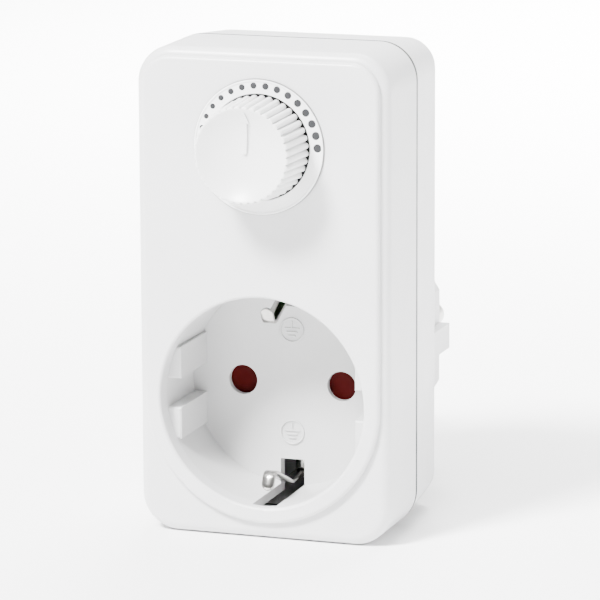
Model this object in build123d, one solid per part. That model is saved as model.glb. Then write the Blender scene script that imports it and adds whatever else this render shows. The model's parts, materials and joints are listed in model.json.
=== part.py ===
from build123d import *
import os
from math import cos, pi, sin

os.makedirs("parts", exist_ok=True)

# Plug-in dimmer with a socket in its front, a turning knob above it and a plug at the back.
# The origin is on the plug's axis, at the collar face that meets the wall socket.
# X points right, Y points back into the wall, Z points up.

# Clearances and overruns
fit_gap = 0.05
overrun = 1.0
seam_gap = 0.4

# Housing
socket_axis_height = 25.3
axis_spacing = 46.5
dial_top_distance = 17.2
recess_side_margin = 4.55
plug_axis_rise = 2.0
housing_corner_radius = 6.9
housing_wall = 2.0
front_shell_depth = 16.6
rear_shell_depth = 17.8
draft_angle = 0.5
rear_draft_angle = 5.0
front_edge_radius = 1.8
rear_edge_radius = 3.0
tongue_height = 1.6
tongue_thickness = 0.9

# Raised front panel with an arched lower end
panel_rise = 1.2
panel_margin = 1.65
panel_corner_radius = 5.3
panel_edge_radius = 0.7

# Socket recess
recess_radius = 19.2
recess_lip_radius = 0.6
recess_depth = 17.5
guide_setback = 3.5
guide_height = 2.7
guide_half_height = 8.5
guide_slot_half_height = 2.7
guide_chamfer = 0.3
cup_wall = 1.7
floor_thickness = 2.2
pin_wall = 1.3
pin_hole_radius = 2.75
locator_height = 3.0
locator_wall = 0.8
clip_slot_width = 4.6
clip_slot_depth = 4.9
clip_notch_depth = 1.2
clip_notch_setback = 1.6

# Shutter that closes the pin holes
shutter_gap = 0.2
shutter_thickness = 2.2
shutter_hub_radius = 3.3
shutter_hub_thickness = 0.9
shutter_arm_width = 4.0
shutter_wing_inner = 6.0
shutter_wing_cover = 0.65
shutter_wing_angle = 41.0
shutter_ramp_angle = 9.0
shutter_pivot_radius = 1.5
spring_radius = 2.3
spring_wire_radius = 0.18
spring_pitch = 0.5
spring_turns = 2

# Carrier plate behind the shutter
carrier_rim = 0.3
carrier_thickness = 1.5
carrier_pin_hole_radius = 3.0
carrier_boss_radius = 4.4
carrier_boss_length = 7.2

# Socket contacts
contact_outer_radius = 3.1
contact_bore_radius = 2.45
contact_reserve = 0.3
contact_end_wall = 0.8
contact_slot_width = 0.7
contact_slot_length = 9.5
contact_tab_length = 4.4
contact_tab_width = 3.0
contact_tab_setback = 5.0

# Earth strap with its two spring clips
strap_width = 2.8
strap_thickness = 0.6
strap_leg_inset = 1.35
clip_nose_inset = 4.8
clip_nose_depth = 5.0
clip_tip_inset = 1.5
clip_tip_depth = 3.3
clip_foot_depth = 15.0
strap_bend_radius = 0.9
clip_nose_radius = 1.5
strap_rivet_radius = 0.9
strap_rivet_head_radius = 1.5
strap_rivet_head_height = 0.5
strap_rivet_offset = 6.5

# Plug
pin_spacing = 19.0
pin_radius = 2.4
pin_length = 19.0
pin_tip_radius = 2.3
pin_shank_radius = 2.7
pin_flange_radius = 3.6
pin_flange_thickness = 1.4
pin_tail_radius = 1.4
collar_lip = 1.6
collar_height = 4.0
collar_edge_radius = 0.5
plug_radius = 18.5
plug_length = 17.8
plug_end_wall = 3.8
plug_flat_inset = 2.2
plug_key_width = 4.8
plug_key_inset = 0.2
plug_spigot_inset = 1.3
plug_end_chamfer = 0.8
plug_side_wall = 2.1
earth_channel_width = 7.0
earth_channel_depth = 2.1
earth_channel_start = 2.3
earth_channel_side_gap = 1.0
earth_contact_thickness = 0.8
earth_contact_reach = 15.5
earth_contact_start = 2.4
earth_pin_offset = 10.0
earth_pin_hole_radius = 2.5
earth_pin_tube_radius = 3.1
earth_pin_cover = 0.9
link_thickness = 0.8
link_width = 4.4
earth_link_radius = 1.6

# Dial disc
dial_radius = 12.15
dial_seat_depth = 1.0
dial_rise = 0.3
dial_bead_width = 0.5
dial_bead_height = 0.15
dial_web = 0.4
dial_pocket_radius = 10.3
dial_nut_hole_radius = 6.2

# Knob
knob_side_gap = 2.15
knob_taper = 1.15
knob_height = 10.0
knob_lift = 0.3
knob_rib_count = 40
knob_rib_depth = 0.34
knob_crest_share = 0.27
knob_front_bevel = 0.4
knob_base_bevel = 0.6
knob_bevel_inset = 0.28
knob_rim_width = 0.65
knob_dish_depth = 1.2
knob_wall = 1.7
knob_pocket_taper = 0.5
knob_pocket_depth = 6.9
knob_hub_radius = 4.4
knob_hub_lift = 1.3
knob_bore_depth = 5.6
pointer_width = 0.7
pointer_length = 6.0
pointer_head_width = 1.5
pointer_head_length = 2.3
pointer_tip_gap = 0.3
pointer_height = 0.3

# Potentiometer
shaft_radius = 3.0
shaft_flat_offset = 1.5
shaft_running_gap = 0.04
bush_radius = 3.5
bush_reach = 1.7
nut_across_flats = 10.0
nut_thickness = 1.6
pot_radius = 8.2
pot_depth = 8.0
pot_wall = 0.8
pot_front_wall = 1.6
wiper_radius = 6.9
wiper_thickness = 1.6
wiper_gap = 0.8
pot_cover_thickness = 0.8
pot_lug_width = 1.6
pot_lug_thickness = 0.6
pot_lug_pitch = 4.0
pot_lug_drop = 5.0

# Circuit board
board_side_gap = 1.75
board_cup_gap = 3.6
board_top_gap = 3.7
board_thickness = 1.6
board_setback = 12.4
board_corner_notch = 3.5
board_post_radius = 2.0
board_post_inset_x = 3.5
board_post_inset_z = 2.7
board_pilot_radius = 0.8
board_screw_radius = 0.75
board_screw_length = 6.0
board_screw_head_radius = 1.9
board_screw_head_height = 1.2

# Screws that hold the two shells together
screw_inset_x = 6.6
screw_inset_z = 6.6
screw_boss_radius = 3.0
screw_tube_radius = 3.2
screw_pilot_radius = 1.25
screw_pilot_depth = 9.0
screw_hole_radius = 1.6
screw_radius = 1.2
screw_head_radius = 2.4
screw_head_height = 2.0
screw_head_hole_radius = 2.55
screw_head_sink = 4.0
screw_thread_length = 21.0
screw_recess_width = 0.7
screw_recess_span = 2.6
screw_recess_depth = 1.1

# Choke
choke_x_share = 0.2375
choke_z_share = 0.65
choke_core_inner = 4.6
choke_core_outer = 8.4
choke_core_thickness = 6.0
choke_cover = 0.8
choke_open_width = 6.0
choke_lift = 0.2

# Power switch and its heat sink
sink_x_share = -0.285
sink_z_share = 0.403
sink_width = 13.2
sink_length = 12.0
sink_thickness = 1.2
sink_lift = 2.0
sink_flange_height = 8.0
sink_foot_width = 2.0
switch_width = 10.0
switch_body_length = 7.4
switch_body_height = 4.4
switch_tab_length = 3.6
switch_tab_height = 1.3
switch_hole_radius = 1.2
switch_edge = 0.4

# Capacitors and small components
film_x_share = -0.24
film_z_share = 0.761
film_width = 13.0
film_depth = 6.0
film_rise = 11.0
film_edge = 0.6
timing_x_share = -0.35
timing_z_share = 0.343
timing_width = 7.2
timing_depth = 2.8
timing_rise = 6.0
timing_edge = 0.4
surge_x_share = -0.15
surge_z_share = 0.194
surge_radius = 3.5
surge_thickness = 3.0
surge_lift = 0.6
surge_edge = 0.6
resistor_x_share = 0.3375
resistor_z_share = 0.224
resistor_pitch = 3.5
resistor_count = 3
resistor_radius = 1.15
resistor_length = 6.2
resistor_lift = 0.4
lead_radius = 0.3
lead_reach = 1.4
trigger_x_share = 0.125
trigger_z_share = 0.164
trigger_radius = 0.9
trigger_length = 4.0

# Fuse
fuse_x_share = 0.225
fuse_z_share = 0.28
fuse_radius = 2.35
fuse_bore_radius = 1.9
fuse_length = 20.0
fuse_cap_radius = 2.6
fuse_cap_length = 5.0
fuse_lift = 1.2
fuse_clip_wall = 0.5
fuse_clip_length = 4.0
fuse_clip_rise = 2.6

# Inner wires
wire_radius = 1.0
wire_bend_radius = 2.5
wire_board_gap = 0.15
feed_start_lift = 2.4
feed_start_depth = 3.4
feed_lane_height = 8.5
feed_cross_depth = 8.0
feed_cross_height = 11.5
feed_board_x = 4.5
feed_board_rise = 3.5
feed_rise_depth = 17.0
switched_lane_x = 15.6
switched_lane_depth = 9.2
switched_lane_height = 8.0
switched_rise_x = 13.0
switched_rise_depth = 14.5
switched_rise_height = 18.5
switched_board_x = 10.5
switched_board_depth = 18.6
switched_board_rise = 4.9

# Sizes that follow from the ones above
housing_width = 2 * (recess_radius + recess_side_margin)
dial_axis_height = socket_axis_height + axis_spacing
housing_height = dial_axis_height + dial_top_distance
plug_axis_height = socket_axis_height + plug_axis_rise
pin_x = pin_spacing / 2
cup_outer_radius = recess_radius + cup_wall
guide_face_offset = recess_radius - guide_height
clip_slot_start = recess_radius - clip_slot_depth
shutter_wing_outer = pin_x + pin_hole_radius + shutter_wing_cover
carrier_radius = pin_x + carrier_boss_radius + carrier_rim
shutter_pocket_radius = carrier_radius - locator_wall
strap_leg_offset = recess_radius - strap_leg_inset
clip_nose_offset = recess_radius - clip_nose_inset
clip_tip_offset = recess_radius - clip_tip_inset
collar_radius = plug_radius + collar_lip
plug_spigot_radius = plug_radius - plug_spigot_inset
plug_flat_offset = plug_radius - plug_flat_inset
plug_key_reach = plug_radius - plug_key_inset
earth_channel_offset = plug_radius - earth_channel_depth
earth_contact_width = earth_channel_width - 2 * earth_channel_side_gap
knob_base_radius = dial_radius - knob_side_gap
knob_front_radius = knob_base_radius - knob_taper
knob_dish_radius = knob_front_radius - knob_rim_width
knob_pocket_radius = knob_base_radius - knob_wall
knob_pocket_front_radius = knob_pocket_radius - knob_pocket_taper
pointer_tip_reach = knob_dish_radius - pointer_tip_gap
screw_spacing_x = housing_width - 2 * screw_inset_x
board_width = housing_width - 2 * (housing_wall + board_side_gap)

# Levels along Y and Z
y_rear = -collar_height
y_joint = y_rear - rear_shell_depth
y_front = y_joint - front_shell_depth
y_panel = y_front - panel_rise
y_inner_front = y_front + housing_wall
y_inner_rear = y_rear - housing_wall
y_floor = y_panel + recess_depth
y_floor_back = y_floor + floor_thickness
y_pin_wall_back = y_floor + pin_wall
y_cup_front = y_panel + guide_setback
y_shutter_front = y_pin_wall_back + shutter_gap
y_shutter_back = y_shutter_front + shutter_thickness
y_carrier_front = y_shutter_back + shutter_gap
y_carrier_back = y_carrier_front + carrier_thickness
y_contact_bore_end = y_floor + pin_length + contact_reserve
y_contact_back = y_contact_bore_end + contact_end_wall
y_plug_inner = plug_length - plug_end_wall
z_bottom = -plug_axis_height
z_top = z_bottom + housing_height
z_middle = z_bottom + housing_height / 2
z_socket = z_bottom + socket_axis_height
z_dial = z_bottom + dial_axis_height
board_low = z_socket + cup_outer_radius + board_cup_gap
board_high = z_top - housing_wall - board_top_gap
board_height = board_high - board_low
y_dial_seat = y_panel + dial_seat_depth
y_knob_back = y_dial_seat - dial_web - knob_lift
y_knob_front = y_knob_back - knob_height
y_board_front = y_inner_front + board_setback
y_board_back = y_board_front + board_thickness
y_pot_back = y_inner_front + pot_depth
y_pot_cover_back = y_pot_back + pot_cover_thickness
y_bush_front = y_dial_seat - bush_reach
parts = {}


def front_plane(level):
    return Plane(origin=(0, level, 0), x_dir=(1, 0, 0), z_dir=(0, -1, 0))


def rear_plane(level):
    return Plane(origin=(0, level, 0), x_dir=(-1, 0, 0), z_dir=(0, 1, 0))


def prism(outline, back, front):
    return extrude(front_plane(back) * outline, amount=back - front)


def rod(radius, back, front, x=0, z=0):
    return prism(Pos(x, z) * Circle(radius), back, front)


def turned(points, x=0, z=0):
    outline = make_face(Polyline(*points, close=True))
    return Pos(x, 0, z) * revolve(outline, Axis.Y)


def span_block(x_low, x_high, y_low, y_high, z_low, z_high):
    middle = Pos((x_low + x_high) / 2, (y_low + y_high) / 2, (z_low + z_high) / 2)
    return middle * Box(x_high - x_low, y_high - y_low, z_high - z_low)


def front_face_edges(solid):
    return solid.faces().sort_by(Axis.Y)[0].edges()


def back_face_edges(solid):
    return solid.faces().sort_by(Axis.Y)[-1].edges()


def shell_outline(inset):
    width = housing_width - 2 * inset
    height = housing_height - 2 * inset
    return Pos(0, z_middle) * RectangleRounded(width, height, housing_corner_radius - inset)


def strip(points, bends, thickness, width):
    path = FilletPolyline(*points, radius=bends)
    outline = trace(path, line_width=thickness)
    side_plane = Plane(origin=(width / 2, 0, 0), x_dir=(0, 1, 0), z_dir=(1, 0, 0))
    return extrude(side_plane * outline, amount=-width)


def wire(points):
    path = FilletPolyline(*points, radius=wire_bend_radius)
    start = path ^ 0
    return sweep(start * Circle(wire_radius), path=path)


def board_place(x_share, z_share):
    return x_share * board_width, board_low + z_share * board_height


screw_places = []
for screw_z in (z_bottom + screw_inset_z, z_top - screw_inset_z):
    for screw_side in (-1, 1):
        screw_places.append((screw_side * screw_spacing_x / 2, screw_z))

post_places = []
for post_side in (-1, 1):
    post_x = post_side * (board_width / 2 - board_post_inset_x)
    post_places.append((post_x, board_low + board_post_inset_z))

# Front shell: a drafted box with a raised panel, open at the back
front_block = extrude(
    front_plane(y_joint - seam_gap) * shell_outline(0),
    amount=front_shell_depth - seam_gap,
    taper=draft_angle,
)
front_block = fillet(front_face_edges(front_block), front_edge_radius)
panel_half = housing_width / 2 - panel_margin
panel_top = z_top - panel_margin
panel_sides = Pos(0, (z_socket + panel_top) / 2) * Rectangle(2 * panel_half, panel_top - z_socket)
panel_sides = fillet(panel_sides.vertices().group_by(Axis.Y)[-1], panel_corner_radius)
panel_outline = panel_sides + Pos(0, z_socket) * Circle(panel_half)
panel = prism(panel_outline, y_front + front_edge_radius, y_panel)
panel = fillet(front_face_edges(panel), panel_edge_radius)
front_hollow = extrude(
    front_plane(y_joint) * shell_outline(housing_wall),
    amount=front_shell_depth - housing_wall,
    taper=draft_angle,
)
tongue_inset = housing_wall - tongue_thickness
front_rebate = prism(shell_outline(tongue_inset - fit_gap), y_joint, y_joint - tongue_height - fit_gap)
front_shell = front_block + panel - front_hollow - front_rebate
locator_radius = cup_outer_radius + fit_gap + locator_wall
front_shell += rod(locator_radius, y_cup_front + locator_height, y_front + housing_wall / 2, 0, z_socket)
for boss_x, boss_z in screw_places:
    front_shell += rod(screw_boss_radius, y_joint, y_front + housing_wall / 2, boss_x, boss_z)
for post_x, post_z in post_places:
    front_shell += rod(board_post_radius, y_board_front, y_front + housing_wall / 2, post_x, post_z)
front_shell -= rod(cup_outer_radius + fit_gap, y_joint, y_cup_front, 0, z_socket)
front_shell -= rod(recess_radius, y_cup_front + overrun, y_panel - overrun, 0, z_socket)
front_shell -= rod(dial_radius + fit_gap, y_dial_seat, y_panel - overrun, 0, z_dial)
front_shell -= rod(bush_radius + fit_gap, y_inner_front + overrun, y_panel - overrun, 0, z_dial)
for boss_x, boss_z in screw_places:
    front_shell -= rod(screw_pilot_radius, y_joint + overrun, y_joint - screw_pilot_depth, boss_x, boss_z)
for post_x, post_z in post_places:
    front_shell -= rod(board_pilot_radius, y_board_front + overrun, y_board_front - board_screw_length, post_x, post_z)
lip_edges = []
for edge in front_shell.edges().filter_by(GeomType.CIRCLE):
    same_radius = abs(edge.radius - recess_radius) < fit_gap / 2
    same_level = abs(edge.arc_center.Y - y_panel) < fit_gap / 2
    if same_radius and same_level:
        lip_edges.append(edge)
front_shell = fillet(lip_edges, recess_lip_radius)
front_shell -= span_block(
    -clip_slot_width / 2,
    clip_slot_width / 2,
    y_panel + clip_notch_setback,
    y_cup_front + overrun,
    z_socket - recess_radius - clip_notch_depth,
    z_socket + recess_radius + clip_notch_depth,
)
parts["front_shell"] = front_shell

# Socket cup: the recess wall, the floor with its pin holes and the side guides
socket_cup = rod(cup_outer_radius, y_floor_back, y_cup_front, 0, z_socket)
socket_cup -= rod(recess_radius, y_floor, y_cup_front - overrun, 0, z_socket)
guide_reach = recess_radius + cup_wall / 2
guide_circle = Pos(0, z_socket) * Circle(guide_reach)
for guide_side in (-1, 1):
    for guide_end in (-1, 1):
        guide_x = guide_side * (guide_face_offset + guide_reach) / 2
        guide_z = z_socket + guide_end * (guide_slot_half_height + guide_half_height) / 2
        guide_box = Rectangle(guide_reach - guide_face_offset, guide_half_height - guide_slot_half_height)
        guide_outline = (Pos(guide_x, guide_z) * guide_box) & guide_circle
        guide = prism(guide_outline, y_floor + pin_wall / 2, y_cup_front)
        guide = chamfer(front_face_edges(guide), guide_chamfer)
        socket_cup += guide
socket_cup -= rod(shutter_pocket_radius, y_floor_back + overrun, y_pin_wall_back, 0, z_socket)
carrier_wall = rod(carrier_radius, y_carrier_front, y_floor_back - pin_wall / 2, 0, z_socket)
carrier_wall -= rod(shutter_pocket_radius, y_carrier_front + overrun, y_floor, 0, z_socket)
socket_cup += carrier_wall
socket_cup += rod(shutter_pivot_radius, y_carrier_back - fit_gap, y_pin_wall_back - pin_wall / 2, 0, z_socket)
for pin_side in (-1, 1):
    socket_cup -= rod(pin_hole_radius, y_floor_back, y_floor - overrun, pin_side * pin_x, z_socket)
    slot_near = z_socket + pin_side * clip_slot_start
    slot_far = z_socket + pin_side * (cup_outer_radius + overrun)
    socket_cup -= span_block(
        -clip_slot_width / 2,
        clip_slot_width / 2,
        y_cup_front - overrun,
        y_floor_back + overrun,
        min(slot_near, slot_far),
        max(slot_near, slot_far),
    )
parts["socket_cup"] = socket_cup

# Shutter: a sprung rotor with one ramped wing behind each pin hole
wing_ring = Circle(shutter_wing_outer) - Circle(shutter_wing_inner)
wing_reach = shutter_wing_outer + overrun
wing_half = shutter_wing_angle * pi / 360
wing_wedge = make_face(
    Polyline(
        (0, 0),
        (wing_reach, -wing_reach * sin(wing_half) / cos(wing_half)),
        (wing_reach, wing_reach * sin(wing_half) / cos(wing_half)),
        close=True,
    )
)
wing_outline = wing_ring & wing_wedge
ramp_half = shutter_wing_outer * sin(wing_half)
wing = prism(wing_outline, y_shutter_back, y_shutter_front)
ramp_tool = Box(shutter_wing_outer, shutter_thickness, 4 * ramp_half, align=(Align.MIN, Align.MAX, Align.MIN))
wing -= Pos(shutter_wing_inner / 2, y_shutter_front, -ramp_half) * Rot(shutter_ramp_angle, 0, 0) * ramp_tool
shutter = rod(shutter_hub_radius, y_shutter_front + shutter_hub_thickness, y_shutter_front)
shutter += span_block(
    -shutter_wing_inner - overrun,
    shutter_wing_inner + overrun,
    y_shutter_front,
    y_shutter_front + shutter_hub_thickness,
    -shutter_arm_width / 2,
    shutter_arm_width / 2,
)
shutter += wing
shutter += Rot(0, 180, 0) * wing
shutter -= rod(shutter_pivot_radius + fit_gap, y_shutter_back + overrun, y_shutter_front - overrun)
parts["shutter"] = Pos(0, 0, z_socket) * shutter

# Shutter spring round the pivot
spring_path = Helix(pitch=spring_pitch, height=spring_pitch * spring_turns, radius=spring_radius)
spring_start = Plane(origin=spring_path @ 0, z_dir=spring_path % 0)
spring_coil = sweep(spring_start * RegularPolygon(spring_wire_radius, 6), path=spring_path)
spring_level = y_carrier_front - shutter_gap / 2 - spring_wire_radius
parts["shutter_spring"] = Pos(0, spring_level, z_socket) * Rot(90, 0, 0) * spring_coil

# Carrier plate with two sleeves for the socket contacts
contact_carrier = rod(carrier_radius, y_carrier_back, y_carrier_front, 0, z_socket)
for pin_side in (-1, 1):
    sleeve_back = y_carrier_back + carrier_boss_length
    contact_carrier += rod(carrier_boss_radius, sleeve_back, y_carrier_front, pin_side * pin_x, z_socket)
    sleeve_bore = contact_outer_radius + fit_gap
    contact_carrier -= rod(sleeve_bore, sleeve_back + overrun, y_carrier_back, pin_side * pin_x, z_socket)
    contact_carrier -= rod(
        carrier_pin_hole_radius, y_carrier_back + overrun, y_carrier_front - overrun, pin_side * pin_x, z_socket
    )
contact_carrier -= rod(shutter_pivot_radius + fit_gap, y_carrier_back + overrun, y_carrier_front - overrun, 0, z_socket)
for rivet_side in (-1, 1):
    rivet_z = z_socket + rivet_side * strap_rivet_offset
    contact_carrier -= rod(strap_rivet_radius, y_carrier_back + overrun, y_carrier_front - overrun, 0, rivet_z)
parts["contact_carrier"] = contact_carrier


def socket_contact(x):
    sleeve = rod(contact_outer_radius, y_contact_back, y_carrier_back, x, z_socket)
    sleeve -= rod(contact_bore_radius, y_contact_bore_end, y_carrier_back - overrun, x, z_socket)
    slot_end = y_carrier_back + contact_slot_length
    slot_reach = contact_outer_radius + overrun
    half_slot = contact_slot_width / 2
    sleeve -= span_block(
        x - slot_reach, x + slot_reach, y_carrier_back - overrun, slot_end, z_socket - half_slot, z_socket + half_slot
    )
    sleeve -= span_block(
        x - half_slot, x + half_slot, y_carrier_back - overrun, slot_end, z_socket - slot_reach, z_socket + slot_reach
    )
    return sleeve


live_tab_back = y_contact_back - contact_tab_setback
live_tab_edge = -pin_x - (contact_bore_radius + contact_outer_radius) / 2
live_contact = socket_contact(-pin_x)
live_contact += span_block(
    live_tab_edge - contact_tab_length,
    live_tab_edge,
    live_tab_back - contact_end_wall,
    live_tab_back,
    z_socket - contact_tab_width / 2,
    z_socket + contact_tab_width / 2,
)
parts["live_socket_contact"] = live_contact
parts["neutral_socket_contact"] = socket_contact(pin_x)

# Earth strap: one strip that runs behind the carrier and comes forward as two spring clips
strap_level = y_carrier_back + strap_thickness / 2
clip_side = [
    (y_panel + clip_tip_depth, clip_tip_offset),
    (y_panel + clip_nose_depth, clip_nose_offset),
    (y_panel + clip_foot_depth, strap_leg_offset),
    (strap_level, strap_leg_offset),
]
strap_points = [(level, z_socket + offset) for level, offset in clip_side]
strap_points += [(level, z_socket - offset) for level, offset in reversed(clip_side)]
nose_bends = [clip_nose_radius, strap_bend_radius, strap_bend_radius]
strap_bends = nose_bends + nose_bends[::-1]
earth_strap = strip(strap_points, strap_bends, strap_thickness, strap_width)
strap_rivets = None
for rivet_side in (-1, 1):
    rivet_z = z_socket + rivet_side * strap_rivet_offset
    earth_strap -= rod(strap_rivet_radius, strap_level + overrun, strap_level - overrun, 0, rivet_z)
    rivet_back = y_carrier_back + strap_thickness
    rivet = rod(strap_rivet_radius - fit_gap, rivet_back + overrun / 2, y_carrier_front + fit_gap, 0, rivet_z)
    rivet += rod(strap_rivet_head_radius, rivet_back + strap_rivet_head_height, rivet_back, 0, rivet_z)
    strap_rivets = rivet if strap_rivets is None else strap_rivets + rivet
parts["earth_strap"] = earth_strap
parts["strap_rivets"] = strap_rivets

# Rear shell: a drafted box with a tongue at its rim and a round opening for the plug body
rear_shell = extrude(rear_plane(y_joint) * shell_outline(0), amount=rear_shell_depth, taper=rear_draft_angle)
rear_shell = fillet(back_face_edges(rear_shell), rear_edge_radius)
tongue = prism(shell_outline(tongue_inset), y_joint, y_joint - tongue_height)
rear_shell += tongue
rear_shell -= prism(shell_outline(housing_wall), y_joint, y_joint - tongue_height - overrun)
rear_shell -= extrude(
    rear_plane(y_joint) * shell_outline(housing_wall),
    amount=rear_shell_depth - housing_wall,
    taper=rear_draft_angle,
)
rear_shell -= rod(plug_spigot_radius + fit_gap, y_rear + overrun, y_inner_rear - overrun)
head_seat = y_rear - screw_head_sink
for boss_x, boss_z in screw_places:
    rear_shell += rod(screw_tube_radius, y_inner_rear + housing_wall / 2, y_joint, boss_x, boss_z)
for boss_x, boss_z in screw_places:
    rear_shell -= rod(screw_head_hole_radius, y_rear + overrun, head_seat, boss_x, boss_z)
    rear_shell -= rod(screw_hole_radius, y_rear, y_joint - tongue_height - overrun, boss_x, boss_z)
parts["rear_shell"] = rear_shell

# Plug body: collar, spigot in the rear shell's opening, and the round plug with its flats and ribs
collar = rod(collar_radius, 0, y_rear)
collar = fillet(back_face_edges(collar), collar_edge_radius)
plug_outline = Circle(plug_radius) & Rectangle(2 * plug_flat_offset, 2 * plug_radius)
plug_outline += Circle(plug_radius) & Rectangle(2 * plug_key_reach, plug_key_width)
plug_body = prism(plug_outline, plug_length, -collar_height / 2)
plug_body = chamfer(back_face_edges(plug_body), plug_end_chamfer)
plug_body += collar + rod(plug_spigot_radius, y_rear + fit_gap, y_inner_rear)
plug_hollow_half_width = plug_flat_offset - plug_side_wall
plug_hollow_half_height = earth_channel_offset - plug_side_wall
plug_hollow = Circle(plug_radius - plug_side_wall) & Rectangle(2 * plug_hollow_half_width, 2 * plug_hollow_half_height)
plug_body -= prism(plug_hollow, y_plug_inner, y_inner_rear - overrun)
for channel_side in (-1, 1):
    channel_near = channel_side * earth_channel_offset
    channel_far = channel_side * (plug_radius + overrun)
    plug_body -= span_block(
        -earth_channel_width / 2,
        earth_channel_width / 2,
        earth_channel_start,
        plug_length + overrun,
        min(channel_near, channel_far),
        max(channel_near, channel_far),
    )
    slot_near = channel_side * (plug_hollow_half_height - overrun)
    slot_far = channel_side * (earth_channel_offset + overrun)
    plug_body -= span_block(
        -earth_contact_width / 2 - fit_gap,
        earth_contact_width / 2 + fit_gap,
        earth_channel_start,
        earth_contact_start + 2 * earth_contact_thickness,
        min(slot_near, slot_far),
        max(slot_near, slot_far),
    )
for pin_side in (-1, 1):
    plug_body -= rod(pin_shank_radius + fit_gap, plug_length + overrun, y_plug_inner - overrun, pin_side * pin_x)
earth_tube_end = plug_length - earth_pin_cover
plug_body -= rod(earth_pin_hole_radius, plug_length + overrun, y_plug_inner - overrun, 0, earth_pin_offset)
plug_body -= rod(earth_pin_tube_radius + fit_gap, earth_tube_end, y_plug_inner - overrun, 0, earth_pin_offset)
parts["plug_body"] = plug_body


def plug_pin(x, tail_end):
    flange_back = y_plug_inner - pin_flange_thickness
    pin = rod(pin_radius, plug_length + pin_length, y_plug_inner, x)
    pin = fillet(back_face_edges(pin), pin_tip_radius)
    pin += rod(pin_shank_radius, plug_length, flange_back, x)
    pin += rod(pin_flange_radius, y_plug_inner, flange_back, x)
    pin += rod(pin_tail_radius, flange_back + overrun / 2, tail_end, x)
    return pin


link_back = y_contact_back + link_thickness
parts["live_pin"] = plug_pin(-pin_x, feed_start_lift)
parts["neutral_pin"] = plug_pin(pin_x, link_back)

# Neutral link from the socket contact to the plug pin
parts["neutral_link"] = span_block(
    pin_x - link_width / 2,
    pin_x + link_width / 2,
    y_contact_back,
    link_back,
    z_socket - link_width / 2,
    pin_tail_radius,
)

# Earth contacts on the plug's top and bottom, joined by one strip inside
bracket_level = earth_contact_start + earth_contact_thickness / 2
bracket_offset = earth_channel_offset + earth_contact_thickness / 2
bracket_points = [
    (earth_contact_reach, bracket_offset),
    (bracket_level, bracket_offset),
    (bracket_level, -bracket_offset),
    (earth_contact_reach, -bracket_offset),
]
parts["plug_earth_contact"] = strip(
    bracket_points, earth_contact_thickness, earth_contact_thickness, earth_contact_width
)
bracket_back = earth_contact_start + earth_contact_thickness
earth_tube = rod(earth_pin_tube_radius, earth_tube_end - fit_gap, bracket_back, 0, earth_pin_offset)
earth_tube -= rod(
    earth_pin_hole_radius - fit_gap, plug_length, bracket_back + earth_contact_thickness, 0, earth_pin_offset
)
parts["earth_pin_socket"] = earth_tube
parts["earth_link"] = rod(earth_link_radius, earth_contact_start, y_carrier_back + strap_thickness, 0, z_socket)

# Dial disc under the knob, with a fine bead round its edge
dial_face = y_panel - dial_rise
parts["dial_disc"] = turned(
    [
        (dial_nut_hole_radius, y_dial_seat),
        (dial_radius, y_dial_seat),
        (dial_radius, dial_face),
        (dial_radius - dial_bead_width / 4, dial_face - dial_bead_height),
        (dial_radius - 3 * dial_bead_width / 4, dial_face - dial_bead_height),
        (dial_radius - dial_bead_width, dial_face),
        (dial_pocket_radius, dial_face),
        (dial_pocket_radius, y_dial_seat - dial_web),
        (dial_nut_hole_radius, y_dial_seat - dial_web),
    ],
    0,
    z_dial,
)


def ribbed_outline(level, radius):
    valley = radius - knob_rib_depth
    step = 2 * pi / knob_rib_count
    points = []
    for number in range(knob_rib_count):
        for share, reach in ((0, valley), (knob_crest_share, radius), (1 - knob_crest_share, radius)):
            angle = (number + share) * step
            points.append((reach * cos(angle), reach * sin(angle)))
    return front_plane(level) * make_face(Polyline(*points, close=True))


# Knob: a ribbed cone with a dished front, a raised pointer and a hollow back with a hub
knob = loft(
    [
        ribbed_outline(y_knob_back, knob_base_radius - knob_bevel_inset),
        ribbed_outline(y_knob_back - knob_base_bevel, knob_base_radius),
        ribbed_outline(y_knob_front + knob_front_bevel, knob_front_radius),
        ribbed_outline(y_knob_front, knob_front_radius - knob_bevel_inset),
    ],
    ruled=True,
)
dish_radius = (knob_dish_radius**2 + knob_dish_depth**2) / (2 * knob_dish_depth)
dish_centre = y_knob_front + knob_dish_depth - dish_radius
pointer_outline = Pos(0, pointer_length / 2) * Rectangle(pointer_width, pointer_length)
pointer_outline += make_face(
    Polyline(
        (-pointer_head_width / 2, pointer_tip_reach - pointer_head_length),
        (pointer_head_width / 2, pointer_tip_reach - pointer_head_length),
        (0, pointer_tip_reach),
        close=True,
    )
)
pointer = prism(pointer_outline, y_knob_front + 2 * knob_dish_depth, y_knob_front - overrun)
dish = Pos(0, dish_centre, 0) * Sphere(dish_radius)
knob -= dish - pointer
knob -= Pos(0, dish_centre, 0) * Sphere(dish_radius - pointer_height)
pocket_front = y_knob_back - knob_pocket_depth
knob -= turned(
    [
        (0, y_knob_back + overrun),
        (knob_pocket_radius, y_knob_back + overrun),
        (knob_pocket_radius, y_knob_back),
        (knob_pocket_front_radius, pocket_front),
        (0, pocket_front),
    ]
)
hub_back = y_knob_back - knob_hub_lift
bore_front = hub_back - knob_bore_depth
knob += rod(knob_hub_radius, hub_back, pocket_front - fit_gap)
bore_outline = Circle(shaft_radius + fit_gap) - Pos(0, shaft_flat_offset + fit_gap + shaft_radius) * Rectangle(
    4 * shaft_radius, 2 * shaft_radius
)
knob -= prism(bore_outline, hub_back + overrun, bore_front)
parts["knob"] = Pos(0, 0, z_dial) * knob

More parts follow.
